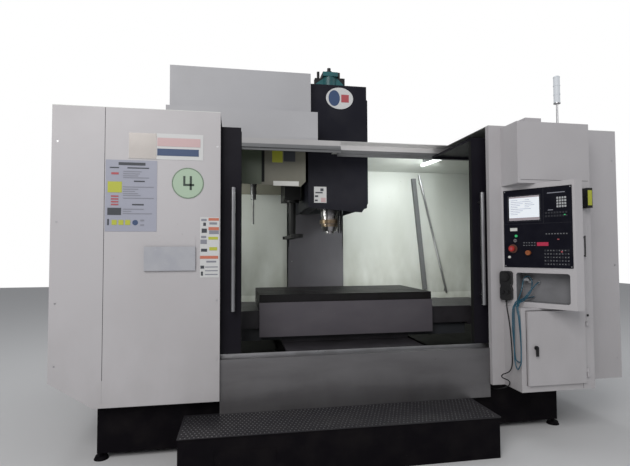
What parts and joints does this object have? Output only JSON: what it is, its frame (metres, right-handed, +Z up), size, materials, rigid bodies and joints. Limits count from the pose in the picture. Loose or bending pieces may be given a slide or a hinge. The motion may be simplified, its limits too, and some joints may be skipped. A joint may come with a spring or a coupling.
{
  "type": "vertical machining center",
  "caption": "Enclosed vertical machining center with sliding doors, a three-axis table and head, a side tool changer and a corner pendant.",
  "frame": {"origin": "floor level, at the middle of the overall box in plan, which is straight below the spindle axis", "axes": "+X to the operator's right along the front, +Y to the back, +Z up"},
  "size_m": [4, 3.2, 3.07],
  "materials": {
    "white_sheet": "powder-coated sheet",
    "interior_sheet": "pale coated liner",
    "dark_sheet": "dark navy powder coat",
    "grey_sheet": "grey coated guide cover",
    "black_sheet": "black powder coat, dusty",
    "painted_casting": "painted casting",
    "machined_iron": "ground cast iron with oil film",
    "rail_steel": "ground steel",
    "bright_steel": "polished steel",
    "stainless": "brushed stainless sheet",
    "motor_black": "black painted motor housing",
    "teal_paint": "teal enamel",
    "pot_blue": "moulded pot and painted disc",
    "black_plastic": "black moulded plastic",
    "red_plastic": "red moulded plastic",
    "white_plastic": "white moulded plastic",
    "orange_plastic": "orange-brown knob",
    "lens_plastic": "clear lens stack",
    "belt_rubber": "toothed rubber belt",
    "cord_black": "black cord sheath",
    "hose_teal": "teal air hose",
    "window_glass": "laminated window pane",
    "plate_aluminium": "plates and pocket on the panel"
  },
  "bodies": {
    "root": {"bed": "painted_casting", "levelling_feet": "black_sheet", "column": "painted_casting", "fixed_rails": "rail_steel", "fixed_servos": "motor_black", "fixed_way_covers": "grey_sheet", "magazine_frame": "black_sheet", "front_panels": "white_sheet", "side_panels": "white_sheet", "roof_panels": "white_sheet", "magazine_cover": "white_sheet", "door_sill": "stainless", "chip_pan": "interior_sheet", "work_lamp": "white_plastic", "base_skirt": "black_sheet", "coolant_tank": "black_sheet", "control_cabinet": "white_sheet", "pendant": "white_sheet", "control_panel": "black_plastic", "mpg_body": "black_plastic", "mpg_cord": "cord_black", "air_hose": "hose_teal", "electric_cabinet": "white_sheet", "tower_light": "lens_plastic", "wall_plates": "plate_aluminium"},
    "saddle": {"saddle": "painted_casting", "saddle_covers": "grey_sheet", "x_servo": "motor_black"},
    "table": {"work_table": "machined_iron", "table_covers": "grey_sheet"},
    "head": {"head_casting": "painted_casting", "spindle_housing": "bright_steel", "spindle_motor": "motor_black", "drive_belt": "belt_rubber", "drawbar_cylinder": "teal_paint", "head_cover": "dark_sheet"},
    "spindle": {"spindle": "bright_steel"},
    "motor_pulley": {"motor_pulley": "rail_steel"},
    "y_screw": {"y_screw": "rail_steel"},
    "x_screw": {"x_screw": "rail_steel"},
    "z_screw": {"z_screw": "rail_steel"},
    "y_cover_mid": {"y_cover_mid": "grey_sheet"},
    "x_cover_mid": {"x_cover_mid": "grey_sheet"},
    "z_cover_mid": {"z_cover_mid": "grey_sheet"},
    "magazine_disc": {"magazine_disc": "pot_blue"},
    "waiting_pot": {"waiting_pot": "bright_steel"},
    "changer_arm": {"changer_arm": "rail_steel"},
    "left_door": {"left_door": "dark_sheet", "left_window": "window_glass"},
    "right_door": {"right_door": "dark_sheet", "right_window": "window_glass"},
    "estop_button": {"estop_button": "red_plastic"},
    "start_button": {"start_button": "white_plastic"},
    "key_switch": {"key_switch": "bright_steel"},
    "feed_knob": {"feed_knob": "orange_plastic"},
    "mpg_wheel": {"mpg_wheel": "black_plastic"},
    "cabinet_door": {"cabinet_door": "white_sheet"},
    "cabinet_lock": {"cabinet_lock": "black_plastic"},
    "electric_door": {"electric_door": "white_sheet"},
    "main_switch": {"main_switch": "red_plastic"}
  },
  "joints": [
    {"name": "saddle_y", "type": "slide", "parent": "root", "child": "saddle", "axis": [0, 1, 0], "range_m": [0, 0.7]},
    {"name": "table_x", "type": "slide", "parent": "saddle", "child": "table", "axis": [1, 0, 0], "range_m": [-0.65, 0.65]},
    {"name": "head_z", "type": "slide", "parent": "root", "child": "head", "axis": [0, 0, 1], "range_m": [-0.35, 0.2]},
    {"name": "spindle_spin", "type": "hinge", "parent": "head", "child": "spindle", "pos_m": [0, 0, 1.6], "axis": [0, 0, 1], "continuous": true},
    {"name": "motor_pulley_spin", "type": "hinge", "parent": "head", "child": "motor_pulley", "pos_m": [0, 0.39, 2.45], "axis": [0, 0, 1], "continuous": true},
    {"name": "y_screw_spin", "type": "hinge", "parent": "root", "child": "y_screw", "pos_m": [0, -0.2, 0.48], "axis": [0, 1, 0], "continuous": true},
    {"name": "x_screw_spin", "type": "hinge", "parent": "saddle", "child": "x_screw", "pos_m": [0, -0.35, 0.78], "axis": [1, 0, 0], "continuous": true},
    {"name": "z_screw_spin", "type": "hinge", "parent": "root", "child": "z_screw", "pos_m": [0, 0.81, 1.6], "axis": [0, 0, 1], "continuous": true},
    {"name": "y_cover_slide", "type": "slide", "parent": "root", "child": "y_cover_mid", "axis": [0, 1, 0], "range_m": [0, 0.35]},
    {"name": "x_cover_slide", "type": "slide", "parent": "saddle", "child": "x_cover_mid", "axis": [1, 0, 0], "range_m": [-0.325, 0.325]},
    {"name": "z_cover_slide", "type": "slide", "parent": "root", "child": "z_cover_mid", "axis": [0, 0, 1], "range_m": [-0.175, 0.1]},
    {"name": "magazine_turn", "type": "hinge", "parent": "root", "child": "magazine_disc", "pos_m": [-0.58, 0, 2.4], "axis": [1, 0, 0], "range_deg": [0, 342]},
    {"name": "pot_flip", "type": "hinge", "parent": "root", "child": "waiting_pot", "pos_m": [-0.63, 0, 2], "axis": [0, -1, 0], "range_deg": [-90, 0]},
    {"name": "changer_swing", "type": "hinge", "parent": "root", "child": "changer_arm", "pos_m": [-0.36, 0, 1.6], "axis": [0, 0, 1], "range_deg": [0, 180]},
    {"name": "left_door_slide", "type": "slide", "parent": "root", "child": "left_door", "axis": [1, 0, 0], "range_m": [0, 0.84]},
    {"name": "right_door_slide", "type": "slide", "parent": "root", "child": "right_door", "axis": [1, 0, 0], "range_m": [-0.84, 0]},
    {"name": "estop_push", "type": "slide", "parent": "root", "child": "estop_button", "axis": [0.8288, 0.5595, 0], "range_m": [0, 0.006]},
    {"name": "start_push", "type": "slide", "parent": "root", "child": "start_button", "axis": [0.8288, 0.5595, 0], "range_m": [0, 0.003], "stiffness_N_per_m": 300},
    {"name": "key_turn", "type": "hinge", "parent": "root", "child": "key_switch", "pos_m": [1.0785, -1.2843, 1.384], "axis": [-0.8288, -0.5595, 0], "range_deg": [0, 90]},
    {"name": "feed_turn", "type": "hinge", "parent": "root", "child": "feed_knob", "pos_m": [1.1197, -1.3651, 1.298], "axis": [-0.8288, -0.5595, 0], "range_deg": [-135, 135]},
    {"name": "mpg_spin", "type": "hinge", "parent": "root", "child": "mpg_wheel", "pos_m": [1.0054, -1.2601, 1.128], "axis": [-0.8288, -0.5595, 0], "continuous": true},
    {"name": "cabinet_door_swing", "type": "hinge", "parent": "root", "child": "cabinet_door", "pos_m": [1.528, -1.412, 0.65], "axis": [0, 0, 1], "range_deg": [0, 110]},
    {"name": "cabinet_lock_turn", "type": "hinge", "parent": "cabinet_door", "child": "cabinet_lock", "pos_m": [1.125, -1.42, 0.655], "axis": [0, 1, 0], "range_deg": [0, 90]},
    {"name": "electric_door_swing", "type": "hinge", "parent": "root", "child": "electric_door", "pos_m": [1.69, 1.241, 1.2], "axis": [0, 0, 1], "range_deg": [-110, 0]},
    {"name": "main_switch_turn", "type": "hinge", "parent": "electric_door", "child": "main_switch", "pos_m": [0.9, 1.255, 1.56], "axis": [0, 1, 0], "range_deg": [0, 90]}
  ],
  "couplings": [
    {"joint": "motor_pulley_spin", "follows": "spindle_spin", "ratio": 1.2},
    {"joint": "y_screw_spin", "follows": "saddle_y", "rad_per_m": 523.6},
    {"joint": "x_screw_spin", "follows": "table_x", "rad_per_m": 523.6},
    {"joint": "z_screw_spin", "follows": "head_z", "rad_per_m": 523.6},
    {"joint": "y_cover_slide", "follows": "saddle_y", "ratio": 0.5},
    {"joint": "x_cover_slide", "follows": "table_x", "ratio": 0.5},
    {"joint": "z_cover_slide", "follows": "head_z", "ratio": 0.5}
  ]
}
